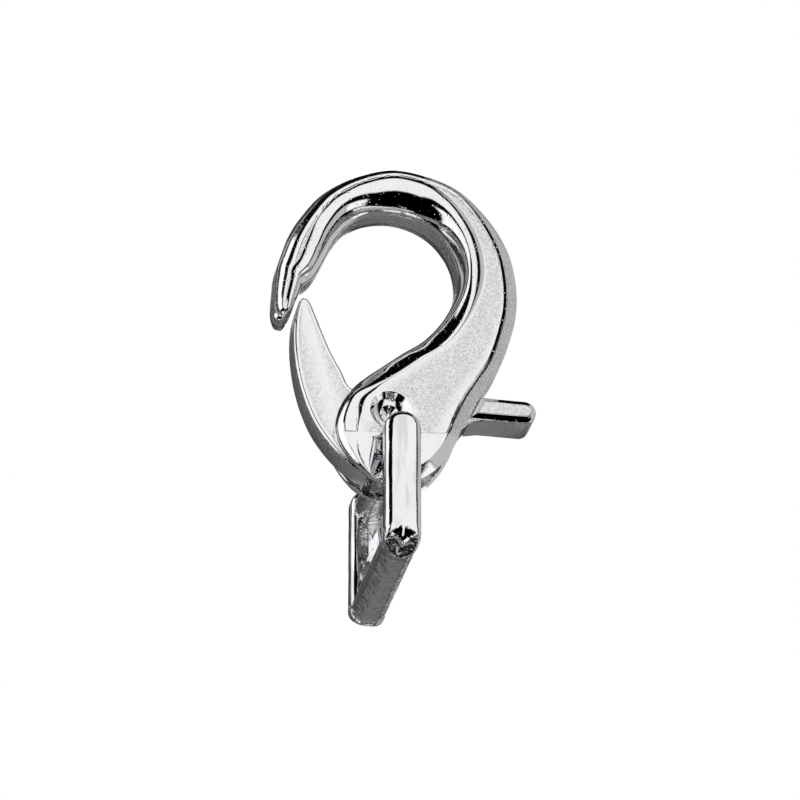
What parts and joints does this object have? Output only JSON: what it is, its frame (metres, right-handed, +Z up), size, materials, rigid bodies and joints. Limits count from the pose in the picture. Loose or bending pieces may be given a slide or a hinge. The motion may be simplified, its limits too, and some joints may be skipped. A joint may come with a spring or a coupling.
{
  "type": "snap carabiner with a strap loop",
  "caption": "Small cast metal snap carabiner: round hook with a pivoting crescent gate and thumb tab, and a closed rectangular strap loop that swings on its tail.",
  "frame": {"origin": "inner crown of the hook, the point of the opening's upper edge where the hook hangs, in the middle of its thickness", "axes": "+Z up along the hook, +X to the thumb tab's side, +Y from the face with the near loop arm to the back, along the pivot pin"},
  "size_m": [0.0261, 0.02, 0.0439],
  "materials": {
    "body_metal": "plated casting, polished rib and sandy flat faces",
    "gate_metal": "plated casting, sandy faces and matt side wall",
    "pin_metal": "plated, staked ends",
    "loop_metal": "plated casting, polished with soft ripples"
  },
  "bodies": {
    "body": {"hook_body": "body_metal", "pivot_pin": "pin_metal"},
    "gate": {"gate": "gate_metal"},
    "loop": {"strap_loop": "loop_metal"}
  },
  "joints": [
    {"name": "gate_pivot", "type": "hinge", "parent": "body", "child": "gate", "pos_m": [-0.0005, 0, -0.0231], "axis": [0, 1, 0], "range_deg": [0, 25], "stiffness_Nm_per_rad": 0.02, "springref_deg": -22.92},
    {"name": "loop_swing", "type": "hinge", "parent": "body", "child": "loop", "pos_m": [0.0002, 0, -0.0268], "axis": [0, 1, 0], "range_deg": [-65, 95]}
  ]
}
